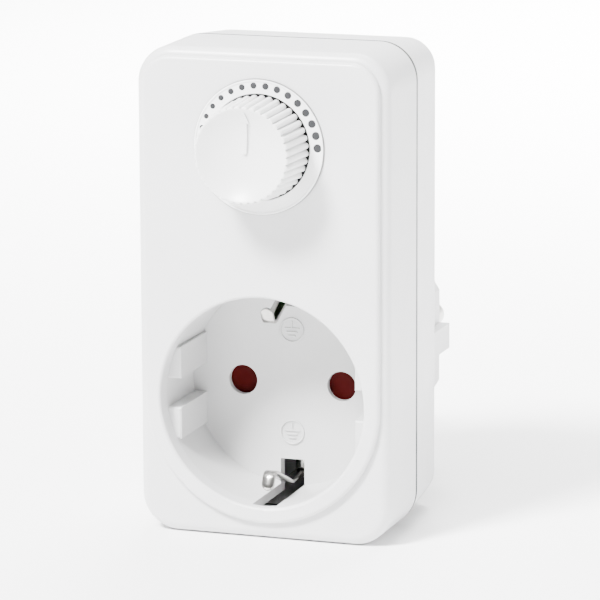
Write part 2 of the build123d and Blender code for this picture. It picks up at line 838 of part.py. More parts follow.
# Potentiometer: shaft with its wiper, bush, nut, body and cover
wiper_front = y_inner_front + pot_front_wall + wiper_gap
shaft_outline = Circle(shaft_radius) - Pos(0, shaft_flat_offset + shaft_radius) * Rectangle(
    4 * shaft_radius, 2 * shaft_radius
)
pot_shaft = prism(shaft_outline, hub_back, bore_front + fit_gap)
pot_shaft += rod(shaft_radius, wiper_front + wiper_thickness, hub_back)
pot_shaft += rod(wiper_radius, wiper_front + wiper_thickness, wiper_front)
parts["pot_shaft"] = Pos(0, 0, z_dial) * pot_shaft
pot_bush = rod(bush_radius, y_inner_front + pot_front_wall, y_bush_front, 0, z_dial)
pot_bush -= rod(shaft_radius + shaft_running_gap, y_pot_back, y_bush_front - overrun, 0, z_dial)
parts["pot_bush"] = pot_bush
nut_outline = RegularPolygon(nut_across_flats / 2, 6, major_radius=False) - Circle(bush_radius + fit_gap)
parts["pot_nut"] = prism(Pos(0, z_dial) * nut_outline, y_dial_seat, y_dial_seat - nut_thickness)
pot_body = rod(pot_radius, y_pot_back, y_inner_front, 0, z_dial)
pot_body -= rod(pot_radius - pot_wall, y_pot_back + overrun, y_inner_front + pot_front_wall, 0, z_dial)
pot_body -= rod(bush_radius + fit_gap, y_pot_back, y_inner_front - overrun, 0, z_dial)
parts["pot_body"] = pot_body
pot_cover = rod(pot_radius, y_pot_cover_back, y_pot_back, 0, z_dial)
for lug_number in (-1, 0, 1):
    lug_x = lug_number * pot_lug_pitch
    pot_cover += span_block(
        lug_x - pot_lug_width / 2,
        lug_x + pot_lug_width / 2,
        y_pot_cover_back - pot_cover_thickness / 2,
        y_board_front,
        z_dial - pot_lug_drop - pot_lug_thickness,
        z_dial - pot_lug_drop,
    )
parts["pot_cover"] = pot_cover

# Circuit board on two posts
board = span_block(-board_width / 2, board_width / 2, y_board_front, y_board_back, board_low, board_high)
for boss_x, boss_z in screw_places:
    board -= rod(board_corner_notch, y_board_back + overrun, y_board_front - overrun, boss_x, boss_z)
board_screws = None
for post_x, post_z in post_places:
    board -= rod(board_pilot_radius, y_board_back + overrun, y_board_front - overrun, post_x, post_z)
    shank_end = y_board_front - board_screw_length + overrun
    board_screw = rod(board_screw_radius, y_board_back + fit_gap, shank_end, post_x, post_z)
    board_screw_head = rod(
        board_screw_head_radius, y_board_back + board_screw_head_height, y_board_back, post_x, post_z
    )
    board_screw += chamfer(back_face_edges(board_screw_head), board_screw_head_height / 3)
    board_screws = board_screw if board_screws is None else board_screws + board_screw
parts["circuit_board"] = board
parts["board_screws"] = board_screws

# Housing screws with a crossed recess
housing_screws = None
for boss_x, boss_z in screw_places:
    screw = rod(screw_head_radius, head_seat + screw_head_height, head_seat, boss_x, boss_z)
    screw = chamfer(back_face_edges(screw), screw_head_height / 4)
    screw += rod(screw_radius, head_seat + overrun / 2, head_seat - screw_thread_length, boss_x, boss_z)
    recess_front = head_seat + screw_head_height - screw_recess_depth
    for recess_x, recess_z in ((screw_recess_span, screw_recess_width), (screw_recess_width, screw_recess_span)):
        screw -= span_block(
            boss_x - recess_x / 2,
            boss_x + recess_x / 2,
            recess_front,
            head_seat + screw_head_height + overrun,
            boss_z - recess_z / 2,
            boss_z + recess_z / 2,
        )
    housing_screws = screw if housing_screws is None else housing_screws + screw
parts["housing_screws"] = housing_screws

# Choke: a ring core in a winding that leaves a gap at the bottom
choke_x, z_choke = board_place(choke_x_share, choke_z_share)
core_front = y_board_back + choke_lift + choke_cover
core_back = core_front + choke_core_thickness
choke_core = rod(choke_core_outer, core_back, core_front, choke_x, z_choke)
choke_core -= rod(choke_core_inner, core_back + overrun, core_front - overrun, choke_x, z_choke)
winding_outer = choke_core_outer + choke_cover
winding_inner = choke_core_inner - choke_cover
winding = rod(winding_outer, core_back + choke_cover, core_front - choke_cover, choke_x, z_choke)
winding -= rod(winding_inner, core_back + overrun, core_front - overrun, choke_x, z_choke)
winding_room = rod(choke_core_outer + fit_gap, core_back + fit_gap, core_front - fit_gap, choke_x, z_choke)
winding_room -= rod(choke_core_inner - fit_gap, core_back + overrun, core_front - overrun, choke_x, z_choke)
winding -= winding_room
winding -= span_block(
    choke_x - choke_open_width / 2,
    choke_x + choke_open_width / 2,
    core_front - overrun,
    core_back + overrun,
    z_choke - winding_outer - overrun,
    z_choke,
)
parts["choke_core"] = choke_core
parts["choke_winding"] = winding

# Power switch on a folded heat sink
sink_x, z_sink = board_place(sink_x_share, sink_z_share)
sink_front = y_board_back + sink_lift
sink_back = sink_front + sink_thickness
sink_left = sink_x - sink_width / 2
sink_right = sink_x + sink_width / 2
sink_low = z_sink - sink_length / 2
sink_high = z_sink + sink_length / 2
heat_sink = span_block(sink_left, sink_right, sink_front, sink_back, sink_low, sink_high)
for flange_left in (sink_left, sink_right - sink_thickness):
    flange_right = flange_left + sink_thickness
    heat_sink += span_block(
        flange_left, flange_right, sink_front, sink_front + sink_flange_height, sink_low, sink_high
    )
    heat_sink += span_block(
        flange_left, flange_right, y_board_back, sink_back, z_sink - sink_foot_width / 2, z_sink + sink_foot_width / 2
    )
switch_length = switch_body_length + switch_tab_length
switch_low = z_sink - switch_length / 2
switch_split = switch_low + switch_body_length
switch_body = span_block(
    sink_x - switch_width / 2,
    sink_x + switch_width / 2,
    sink_back,
    sink_back + switch_body_height,
    switch_low,
    switch_split,
)
switch_body = chamfer(back_face_edges(switch_body), switch_edge)
switch_tab = span_block(
    sink_x - switch_width / 2,
    sink_x + switch_width / 2,
    sink_back,
    sink_back + switch_tab_height,
    switch_split,
    switch_low + switch_length,
)
switch_hole_z = switch_split + switch_tab_length / 2
switch_tab -= rod(switch_hole_radius, sink_back + switch_body_height, sink_back - overrun, sink_x, switch_hole_z)
parts["heat_sink"] = heat_sink
parts["power_switch"] = switch_body + switch_tab


def boxed_part(x_share, z_share, width, depth, rise, edge, on_back):
    x, z_centre = board_place(x_share, z_share)
    low = y_board_back if on_back else y_board_front - rise
    solid = span_block(
        x - width / 2, x + width / 2, low, low + rise, z_centre - depth / 2, z_centre + depth / 2
    )
    free_edges = back_face_edges(solid) if on_back else front_face_edges(solid)
    return chamfer(free_edges + solid.edges().filter_by(Axis.Y), edge)


parts["film_capacitor"] = boxed_part(
    film_x_share, film_z_share, film_width, film_depth, film_rise, film_edge, True
)
parts["timing_capacitor"] = boxed_part(
    timing_x_share, timing_z_share, timing_width, timing_depth, timing_rise, timing_edge, False
)
surge_x, surge_z = board_place(surge_x_share, surge_z_share)
surge_level = y_board_front - surge_lift - surge_radius
surge_disc = Cylinder(surge_radius, surge_thickness)
surge_disc = chamfer(surge_disc.edges().filter_by(GeomType.CIRCLE), surge_edge)
surge_part = Pos(surge_x, surge_level, surge_z) * surge_disc
for lead_side in (-1, 1):
    lead_x = surge_x + lead_side * surge_radius / 2
    surge_part += rod(lead_radius, y_board_front, surge_level, lead_x, surge_z)
parts["surge_disc"] = surge_part


def axial_part(x, z_centre, radius, length):
    level = y_board_front - resistor_lift - radius
    body = Pos(x, level, z_centre) * Rot(0, 90, 0) * Cylinder(radius, length)
    body = chamfer(body.edges().filter_by(GeomType.CIRCLE), radius / 3)
    lead_length = length + 2 * lead_reach
    body += Pos(x, level, z_centre) * Rot(0, 90, 0) * Cylinder(lead_radius, lead_length)
    for side in (-1, 1):
        leg_x = x + side * (lead_length / 2 - lead_radius)
        body += rod(lead_radius, y_board_front, level, leg_x, z_centre)
    return body


resistor_x, resistor_z = board_place(resistor_x_share, resistor_z_share)
resistors = None
for resistor_number in range(resistor_count):
    resistor_level = resistor_z + resistor_number * resistor_pitch
    resistor = axial_part(resistor_x, resistor_level, resistor_radius, resistor_length)
    resistors = resistor if resistors is None else resistors + resistor
parts["resistors"] = resistors
trigger_x, trigger_z = board_place(trigger_x_share, trigger_z_share)
parts["trigger_diode"] = axial_part(trigger_x, trigger_z, trigger_radius, trigger_length)

# Fuse in two clips
fuse_x, z_fuse = board_place(fuse_x_share, fuse_z_share)
fuse_level = y_board_back + fuse_lift + fuse_cap_radius
fuse_turn = Pos(fuse_x, fuse_level, z_fuse) * Rot(0, 90, 0)
parts["fuse_tube"] = fuse_turn * (Cylinder(fuse_radius, fuse_length) - Cylinder(fuse_bore_radius, fuse_length))
fuse_caps = None
fuse_clips = None
for cap_side in (-1, 1):
    cap_x = fuse_x + cap_side * (fuse_length + 2 * fuse_clip_wall - fuse_cap_length) / 2
    cap_turn = Pos(cap_x, fuse_level, z_fuse) * Rot(0, 90, 0)
    cap = cap_turn * Cylinder(fuse_cap_radius, fuse_cap_length)
    cap -= fuse_turn * Cylinder(fuse_radius + fit_gap, fuse_length + fit_gap)
    fuse_caps = cap if fuse_caps is None else fuse_caps + cap
    clip_outer = fuse_cap_radius + fit_gap + fuse_clip_wall
    fuse_clip = span_block(
        cap_x - fuse_clip_length / 2,
        cap_x + fuse_clip_length / 2,
        y_board_back,
        fuse_level + fuse_clip_rise / 2,
        z_fuse - clip_outer,
        z_fuse + clip_outer,
    )
    fuse_clip -= cap_turn * Cylinder(fuse_cap_radius + fit_gap, fuse_cap_length)
    fuse_clip -= span_block(
        cap_x - fuse_clip_length,
        cap_x + fuse_clip_length,
        fuse_level,
        fuse_level + fuse_cap_length,
        z_fuse - fuse_cap_radius - fit_gap,
        z_fuse + fuse_cap_radius + fit_gap,
    )
    fuse_clips = fuse_clip if fuse_clips is None else fuse_clips + fuse_clip
parts["fuse_caps"] = fuse_caps
parts["fuse_clips"] = fuse_clips

# Insulated wires between the plug pin, the board and the socket contact
board_touch = y_board_back + wire_board_gap
feed_board_height = board_low + feed_board_rise
switched_board_height = board_low + switched_board_rise
parts["feed_wire"] = wire(
    [
        (-pin_x, feed_start_depth, pin_tail_radius + fit_gap),
        (-pin_x, feed_start_depth, feed_lane_height),
        (-pin_x, -feed_cross_depth, feed_cross_height),
        (-feed_board_x, -feed_rise_depth, feed_board_height),
        (-feed_board_x, board_touch, feed_board_height),
    ]
)
parts["switched_wire"] = wire(
    [
        (-switched_lane_x, -switched_lane_depth, z_socket),
        (-switched_lane_x, -switched_lane_depth, switched_lane_height),
        (-switched_rise_x, -switched_rise_depth, switched_rise_height),
        (-switched_board_x, -switched_board_depth, switched_board_height),
        (-switched_board_x, board_touch, switched_board_height),
    ]
)

for node_name, node_solid in parts.items():
    export_step(node_solid, "parts/" + node_name + ".step")
print(len(parts), "pieces written")
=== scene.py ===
import json
import math

import bpy
import numpy as np
from mathutils import Matrix, Vector


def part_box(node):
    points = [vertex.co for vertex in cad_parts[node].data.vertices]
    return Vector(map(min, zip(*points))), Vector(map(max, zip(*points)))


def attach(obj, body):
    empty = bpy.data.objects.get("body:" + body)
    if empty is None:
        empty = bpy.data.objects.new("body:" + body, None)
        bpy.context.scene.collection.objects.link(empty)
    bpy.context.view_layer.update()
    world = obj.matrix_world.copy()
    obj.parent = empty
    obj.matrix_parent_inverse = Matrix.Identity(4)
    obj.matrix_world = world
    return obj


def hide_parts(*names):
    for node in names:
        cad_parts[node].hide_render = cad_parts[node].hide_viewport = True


# The plug-in dimmer's looks, thin trim, light and camera, round the CAD frame
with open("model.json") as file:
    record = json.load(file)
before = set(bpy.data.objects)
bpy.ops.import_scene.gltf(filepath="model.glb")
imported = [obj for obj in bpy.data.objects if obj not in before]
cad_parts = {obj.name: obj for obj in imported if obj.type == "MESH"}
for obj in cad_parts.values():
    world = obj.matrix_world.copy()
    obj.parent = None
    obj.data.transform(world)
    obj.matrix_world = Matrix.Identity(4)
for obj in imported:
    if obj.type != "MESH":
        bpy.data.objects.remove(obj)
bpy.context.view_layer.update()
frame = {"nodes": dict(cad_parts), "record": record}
MM = 0.001
nodes = frame["nodes"]

# Places that the frame gives
knob_low, knob_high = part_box("knob")
knob_back = knob_high.y
knob_front = knob_low.y
knob_x = (knob_low.x + knob_high.x) / 2
knob_z = (knob_low.z + knob_high.z) / 2
dial_low, dial_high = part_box("dial_disc")
dial_radius = (dial_high.x - dial_low.x) / 2
dial_rim_height = 0.15 * MM
dial_face = dial_low.y + dial_rim_height
mounts = {mount["name"]: mount for mount in frame["record"]["mounts"]}
socket_hole = mounts["live_socket_hole"]
socket_z = socket_hole["pos_m"][2]
floor_level = socket_hole["pos_m"][1] - socket_hole["dims"]["length_mm"] * MM / 2
floor_gap = 0.02 * MM
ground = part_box("front_shell")[0].z - floor_gap

# The knob's outer radius at its foot, which the dial's painted shade and lip follow
base_radius = 9.35 * MM


# Helpers for materials
def new_material(name):
    material = bpy.data.materials.new(name)
    material.use_nodes = True
    tree = material.node_tree
    return material, tree, tree.nodes["Principled BSDF"]


def noise(tree, scale, detail=3.0, rough=0.55, stretch=(1.0, 1.0, 1.0)):
    place = tree.nodes.new("ShaderNodeTexCoord")
    mapping = tree.nodes.new("ShaderNodeMapping")
    tree.links.new(place.outputs["Object"], mapping.inputs["Vector"])
    mapping.inputs["Scale"].default_value = stretch
    node = tree.nodes.new("ShaderNodeTexNoise")
    node.inputs["Scale"].default_value = scale
    node.inputs["Detail"].default_value = detail
    node.inputs["Roughness"].default_value = rough
    tree.links.new(mapping.outputs["Vector"], node.inputs["Vector"])
    return node


# The noise nodes give nearly all their values between these two
noise_low = 0.3
noise_high = 0.7


def vary_roughness(tree, source, shader, low, high):
    node = tree.nodes.new("ShaderNodeMapRange")
    node.inputs["From Min"].default_value = noise_low
    node.inputs["From Max"].default_value = noise_high
    node.inputs["To Min"].default_value = low
    node.inputs["To Max"].default_value = high
    tree.links.new(source.outputs[0], node.inputs["Value"])
    tree.links.new(node.outputs["Result"], shader.inputs["Roughness"])


def two_tone(tree, source, shader, dark, light):
    ramp = tree.nodes.new("ShaderNodeValToRGB")
    ramp.name = "tones"
    ramp.color_ramp.elements[0].position = noise_low
    ramp.color_ramp.elements[0].color = (*dark, 1)
    ramp.color_ramp.elements[1].position = noise_high
    ramp.color_ramp.elements[1].color = (*light, 1)
    tree.links.new(source.outputs[0], ramp.inputs["Fac"])
    tree.links.new(ramp.outputs["Color"], shader.inputs["Base Color"])


def bump(tree, source, shader, strength, distance):
    node = tree.nodes.new("ShaderNodeBump")
    node.inputs["Strength"].default_value = strength
    node.inputs["Distance"].default_value = distance
    tree.links.new(source.outputs[0], node.inputs["Height"])
    tree.links.new(node.outputs["Normal"], shader.inputs["Normal"])


def math_node(tree, operation, *values):
    node = tree.nodes.new("ShaderNodeMath")
    node.operation = operation
    for place, value in enumerate(values):
        if isinstance(value, float):
            node.inputs[place].default_value = value
        else:
            tree.links.new(value, node.inputs[place])
    return node.outputs[0]


def object_place(tree):
    place = tree.nodes.new("ShaderNodeTexCoord")
    split = tree.nodes.new("ShaderNodeSeparateXYZ")
    tree.links.new(place.outputs["Object"], split.inputs[0])
    return split.outputs


def darken(material, mask, tone):
    tree = material.node_tree
    shader = tree.nodes["Principled BSDF"]
    mix = tree.nodes.new("ShaderNodeMix")
    mix.data_type = "RGBA"
    tree.links.new(mask, mix.inputs["Factor"])
    tree.links.new(tree.nodes["tones"].outputs["Color"], mix.inputs["A"])
    mix.inputs["B"].default_value = (*tone, 1)
    tree.links.new(mix.outputs["Result"], shader.inputs["Base Color"])


def grey(tone):
    return (tone, tone, tone)


def plastic(name, dark, light, rough=0.36, depth=0.01 * MM, glow=0.0, shine=0.5):
    material, tree, shader = new_material(name)
    shader.inputs["IOR"].default_value = 1.5
    shader.inputs["Specular IOR Level"].default_value = shine
    if glow:
        shader.inputs["Subsurface Weight"].default_value = glow
        shader.inputs["Subsurface Radius"].default_value = (1.0, 0.95, 0.9)
        shader.inputs["Subsurface Scale"].default_value = 0.6 * MM
    clouds = noise(tree, scale=60.0, detail=4.0)
    two_tone(tree, clouds, shader, dark, light)
    grain = noise(tree, scale=2600.0, detail=2.0, rough=0.6)
    bump(tree, grain, shader, strength=0.35, distance=depth)
    patches = noise(tree, scale=180.0)
    roughness_spread = 0.05
    vary_roughness(tree, patches, shader, rough - roughness_spread, rough + roughness_spread)
    return material


def metal(name, dark, light, rough, stretch=(1.0, 1.0, 12.0)):
    material, tree, shader = new_material(name)
    shader.inputs["Metallic"].default_value = 1.0
    lines = noise(tree, scale=900.0, detail=4.0, rough=0.6, stretch=stretch)
    two_tone(tree, lines, shader, dark, light)
    bump(tree, lines, shader, strength=0.15, distance=0.01 * MM)
    patches = noise(tree, scale=300.0)
    smoother_by = 0.07
    rougher_by = 0.09
    vary_roughness(tree, patches, shader, rough - smoother_by, rough + rougher_by)
    return material


# The shells' plastic, with a painted shadow in a band along the seam between them
def shell_plastic():
    material = plastic("white_shell", (0.6, 0.6, 0.605), (0.63, 0.63, 0.635), glow=0.1)
    seam_back = -21.8 * MM
    seam_gap = 0.4 * MM
    shadow_reach = 0.5 * MM
    tree = material.node_tree
    depth = object_place(tree)["Y"]
    # Painted shadow: the colour goes dark in a band about the seam's gap, where the gap's shade would fall
    painted_seam_shadow = math_node(tree, "COMPARE", depth, seam_back - seam_gap / 2, shadow_reach)
    darken(material, painted_seam_shadow, grey(0.05))
    return material


# The dial's bright plastic, with painted shade in the hollow under the knob and a fine painted shadow line
# round its rim
def dial_plastic():
    material = plastic("bright_dial", grey(0.84), grey(0.87), 0.4, glow=0.1)
    hollow_radius = base_radius + 0.16 * MM
    rim_width = 0.09 * MM
    rim_strength = 0.75
    tree = material.node_tree
    axes = object_place(tree)
    across = math_node(tree, "POWER", math_node(tree, "SUBTRACT", axes["X"], knob_x), 2.0)
    upward = math_node(tree, "POWER", math_node(tree, "SUBTRACT", axes["Z"], knob_z), 2.0)
    reach_square = math_node(tree, "ADD", across, upward)
    # Painted shade: the dial's colour goes nearly black in the hollow under the knob and in a thin shadow
    # line round its rim
    painted_hollow_shade = math_node(tree, "LESS_THAN", reach_square, hollow_radius**2)
    rim = math_node(tree, "GREATER_THAN", reach_square, (dial_radius - rim_width) ** 2)
    rim_shadow = math_node(tree, "MULTIPLY", rim, rim_strength)
    darken(material, math_node(tree, "MAXIMUM", painted_hollow_shade, rim_shadow), grey(0.012))
    return material


def clear_glass():
    material, tree, shader = new_material("clear_glass")
    shader.inputs["Transmission Weight"].default_value = 1.0
    shader.inputs["IOR"].default_value = 1.5
    vary_roughness(tree, noise(tree, scale=200.0), shader, low=0.03, high=0.08)
    return material


# One look for each of the record's material slots, and one for the dial's printed dots
looks = {
    "shell": shell_plastic(),
    "dial": dial_plastic(),
    # The cup's white is painted darker than the shells' same white, as painted shade in the socket's recess
    "cup": plastic("shade_darkened_cup", grey(0.54), grey(0.57), 0.34, glow=0.1),
    "knob": plastic("white_knob", grey(0.7), grey(0.73), 0.32, glow=0.1),
    "shutter": plastic("red_shutter", (0.036, 0.0012, 0.0012), (0.046, 0.0016, 0.0016), 0.6, shine=0.05),
    "carrier": plastic("grey_carrier", grey(0.015), grey(0.025), 0.6, shine=0.1),
    "plated": metal("nickel_plate", (0.4, 0.39, 0.375), (0.52, 0.51, 0.49), 0.17),
    "brass": metal("drawn_brass", (0.66, 0.48, 0.2), (0.8, 0.62, 0.3), 0.3),
    "steel": metal("zinc_steel", (0.5, 0.51, 0.52), (0.66, 0.67, 0.68), 0.33),
    "board": plastic("green_board", (0.03, 0.1, 0.03), (0.05, 0.15, 0.04), 0.45),
    "black": plastic("black_case", grey(0.012), grey(0.03), 0.5),
    "sink": metal("sheet_aluminium", (0.7, 0.7, 0.71), (0.82, 0.82, 0.83), 0.35),
    "core": plastic("coated_core", (0.06, 0.07, 0.05), (0.1, 0.11, 0.08), 0.6, depth=0.04 * MM),
    "copper": metal("enamelled_copper", (0.5, 0.18, 0.06), (0.66, 0.27, 0.1), 0.25, stretch=(1.0, 8.0, 1.0)),
    "film": plastic("film_case", (0.5, 0.33, 0.05), (0.6, 0.42, 0.08), 0.4),
    "blue": plastic("blue_coat", (0.02, 0.06, 0.25), (0.03, 0.09, 0.33), 0.3),
    "beige": plastic("beige_resin", (0.45, 0.35, 0.22), (0.55, 0.44, 0.3), 0.5),
    "wire": plastic("brown_insulation", (0.07, 0.03, 0.015), (0.11, 0.05, 0.025), 0.4),
    "dots": plastic("grey_print", (0.028, 0.028, 0.03), (0.034, 0.034, 0.036), 0.6, shine=0.1),
    "glass": clear_glass(),
}

for part in frame["record"]["subparts"]:
    piece = nodes[part["node"]]
    piece.data.materials.clear()
    piece.data.materials.append(looks[part["material_slot"]])

# The earth pin's socket lies deep in the plug, so its brass is painted darker, as painted shade
painted_shade_brass = metal("painted_shade_brass", (0.2, 0.14, 0.06), (0.3, 0.22, 0.1), 0.35)
nodes["earth_pin_socket"].material_slots[0].material = painted_shade_brass


# Helpers for meshes
def add_mesh(name, points, faces, material, body, sharp=32.0):
    mesh = bpy.data.meshes.new(name)
    mesh.from_pydata([tuple(p) for p in points], [], [tuple(f) for f in faces])
    mesh.validate()
    mesh.materials.append(material)
    piece = bpy.data.objects.new(name, mesh)
    bpy.context.scene.collection.objects.link(piece)
    mesh.polygons.foreach_set("use_smooth", [True] * len(mesh.polygons))
    mesh.set_sharp_from_angle(angle=math.radians(sharp))
    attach(piece, body)
    return piece


def soft_edges(piece, width):
    bevel = piece.modifiers.new("edge", "BEVEL")
    bevel.width = width
    bevel.segments = 2
    bevel.limit_method = "ANGLE"
    bevel.angle_limit = math.radians(40)


# The share of a rounded edge's height that is reached at a share of its way
def rounded(share):
    return math.sqrt(max(0.0, 1 - (1 - share) ** 2))


# Points of a circle that faces the front, and the faces between rows of such points
def circle(x, y, z, radius, sides):
    points = []
    for side in range(sides):
        around = 2 * math.pi * side / sides
        points.append((x + radius * math.cos(around), y, z + radius * math.sin(around)))
    return points


def band_faces(start, rows, sides, closed=False, inward=False):
    faces = []
    for row in range(rows if closed else rows - 1):
        low_row = start + row * sides
        high_row = start + (row + 1) % rows * sides
        for side in range(sides):
            after = (side + 1) % sides
            low = low_row + side
            low_next = low_row + after
            high = high_row + side
            high_next = high_row + after
            if inward:
                faces.append((low, high, high_next, low_next))
            else:
                faces.append((low, low_next, high_next, high))
    return faces


# Knob: rounded ribs with feet, a scalloped rim and a dished front, in the CAD node's box
front_radius = 8.75 * MM
dish_edge = 8.2 * MM
dish_depth = 2.4 * MM
dish_ball = (dish_edge**2 + dish_depth**2) / (2 * dish_depth)


def dish_level(reach):
    return knob_front + dish_depth - dish_ball + math.sqrt(dish_ball**2 - reach**2)


def knob_cap():
    rib_count = 40
    rib_depth = 0.75 * MM
    rib_width_share = 0.88
    hollow_radius = 8.3 * MM
    hollow_mouth = 8.35 * MM
    hollow_depth = 3.0 * MM
    foot_step = 0.1 * MM
    foot_height = 0.6 * MM
    front_height = 0.45 * MM
    least_rim = 0.06 * MM
    rim_edge = 0.03 * MM
    rim_drop = 0.01 * MM

    # Places across one rib and its groove, closer together where the outline bends most
    place_shares = np.array([0.0, 0.06, 0.09, 0.13, 0.2, 0.3, 0.4, 0.5, 0.6, 0.7, 0.8, 0.87, 0.91, 0.94])
    rib_arc = 1 - (np.abs(2 * place_shares - 1) / rib_width_share) ** 2
    rib_shape = np.tile(np.sqrt(np.clip(rib_arc, 0, 1)), rib_count)
    turn = (np.arange(rib_count)[:, None] + place_shares[None, :]).ravel() * 2 * math.pi / rib_count
    columns = len(turn)

    def row(valley, level, crest):
        reach = valley + crest * rib_shape
        across = knob_x + reach * np.cos(turn)
        upward = knob_z + reach * np.sin(turn)
        return np.stack([across, np.full(columns, level), upward], axis=1)

    height = knob_back - knob_front
    base_valley = base_radius - rib_depth
    rows = [
        row(hollow_radius, knob_back - hollow_depth, 0.0),
        row(hollow_mouth, knob_back, 0.0),
        row(base_valley - foot_step, knob_back, 0.0),
    ]
    edge_shares = (0.02, 0.12, 0.3, 0.6, 1.0)
    side_shares = np.linspace(0.12, 0.94, 8)
    dish_shares = (0.985, 0.96, 0.9, 0.8, 0.68, 0.55, 0.42, 0.28, 0.14)
    for share in edge_shares:
        rows.append(row(base_valley, knob_back - foot_height * share, rib_depth * rounded(share)))
    for share in side_shares:
        reach = base_radius + (front_radius - base_radius) * share
        rows.append(row(reach - rib_depth, knob_back - height * share, rib_depth))
    front_valley = max(front_radius - rib_depth, dish_edge + least_rim)
    front_crest = front_radius - front_valley
    flat_share = 0.35
    for share in reversed(edge_shares):
        crest = front_crest * (flat_share + (1 - flat_share) * rounded(share))
        rows.append(row(front_valley, knob_front + front_height * share, crest))
    rows.append(row(dish_edge + rim_edge, knob_front + rim_drop, 0.0))
    rows.append(row(dish_edge, knob_front + rim_edge, 0.0))
    for share in dish_shares:
        rows.append(row(dish_edge * share, dish_level(dish_edge * share), 0.0))

    dish_centre = [[knob_x, dish_level(0.0), knob_z]]
    hollow_centre = [[knob_x, knob_back - hollow_depth, knob_z]]
    points = np.concatenate([*rows, dish_centre, hollow_centre])
    faces = band_faces(0, len(rows), columns, inward=True)
    last_row = (len(rows) - 1) * columns
    dish_index = len(rows) * columns
    for column in range(columns):
        faces.append((last_row + column, dish_index, last_row + (column + 1) % columns))
    for column in range(columns):
        faces.append((dish_index + 1, column, (column + 1) % columns))
    cap = add_mesh("knob_cap", points, faces, looks["knob"], "knob", sharp=40.0)
    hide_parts("knob")


knob_cap()


# Raised pointer that follows the dish: a stem and an arrow head, leaning a little to the right
def knob_pointer():
    stem_half = 0.36 * MM
    stem_levels = (0.0, 1.5 * MM, 3.0 * MM, 4.5 * MM, 5.7 * MM)
    head_half = 0.8 * MM
    head_middle = 6.7 * MM
    tip = 7.7 * MM
    lean = math.radians(4.5)
    root = 0.1 * MM
    height = 0.4 * MM
    clear_of_box = 0.02 * MM

    right_side = [(stem_half, level) for level in stem_levels]
    right_side += [(head_half, stem_levels[-1]), (head_half / 2, head_middle)]
    left_side = [(-across, upward) for across, upward in reversed(right_side)]
    outline = [left_side[-1], *right_side, (0.0, tip), *left_side[:-1]]
    points = []
    for lift in (-root, height):
        for across, upward in outline:
            level = max(dish_level(math.hypot(across, upward)) - lift, knob_front + clear_of_box)
            leant_across = across * math.cos(lean) + upward * math.sin(lean)
            leant_upward = upward * math.cos(lean) - across * math.sin(lean)
            points.append((knob_x + leant_across, level, knob_z + leant_upward))

    count = len(outline)
    faces = band_faces(0, 2, count)
    top = []
    for right in range(1, len(right_side)):
        left = -right + 1
        top.append((left % count, right, right + 1, (left - 1) % count))
    tip_index = len(right_side) + 1
    top.append((tip_index + 1, tip_index - 1, tip_index))
    for face in top:
        faces.append(tuple(count + corner for corner in face))
        faces.append(face[::-1])
    pointer = add_mesh("knob_pointer", points, faces, looks["knob"], "knob", sharp=30.0)
    soft_edges(pointer, width=0.07 * MM)


knob_pointer()


# Dial dots that grow clockwise
def dial_dots():
    dot_count = 16
    first_angle = math.radians(-85.4)
    angle_step = math.radians(11.57)
    circle_radius = 10.98 * MM
    smallest = 0.42 * MM
    largest = 0.75 * MM
    sides = 28
    # Levels from the dial's face and shares of the dot's radius: buried root, wall and softened top
    profile = ((0.05 * MM, 1.0), (-0.012 * MM, 1.0), (-0.02 * MM, 0.94))

    points = []
    faces = []
    for number in range(dot_count):
        angle = first_angle + number * angle_step
        radius = smallest + (largest - smallest) * number / (dot_count - 1)
        x = knob_x + circle_radius * math.sin(angle)
        z = knob_z + circle_radius * math.cos(angle)
        start = len(points)
        for level, share in profile:
            points += circle(x, dial_face + level, z, radius * share, sides)
        faces += band_faces(start, len(profile), sides)
        faces.append(tuple(range(len(points) - sides, len(points))))
        faces.append(tuple(reversed(range(start, start + sides))))
    add_mesh("dial_dots", points, faces, looks["dots"], "housing")


dial_dots()


# Lip of the dial round the knob's foot
def dial_lip():
    inner_radius = base_radius + 0.2 * MM
    outer_radius = 10.3 * MM
    chamfer = 0.06 * MM
    fall = 0.01 * MM
    root = 0.5 * MM
    sides = 120
    profile = (
        (inner_radius, root),
        (inner_radius, chamfer),
        (inner_radius + chamfer, 0.0),
        (outer_radius, fall),
        (outer_radius, root),
    )

    points = []
    for reach, level in profile:
        points += circle(knob_x, dial_face + level, knob_z, reach, sides)
    faces = band_faces(0, len(profile), sides, closed=True)
    add_mesh("dial_lip", points, faces, looks["dial"], "housing")


dial_lip()


# Earth signs raised on the recess floor: a ring with an upright and three shorter and shorter bars
def box_faces(start):
    corners = [(0, 1, 3, 2), (4, 6, 7, 5), (0, 4, 5, 1), (2, 3, 7, 6), (0, 2, 6, 4), (1, 5, 7, 3)]
    return [tuple(start + corner for corner in face) for face in corners]


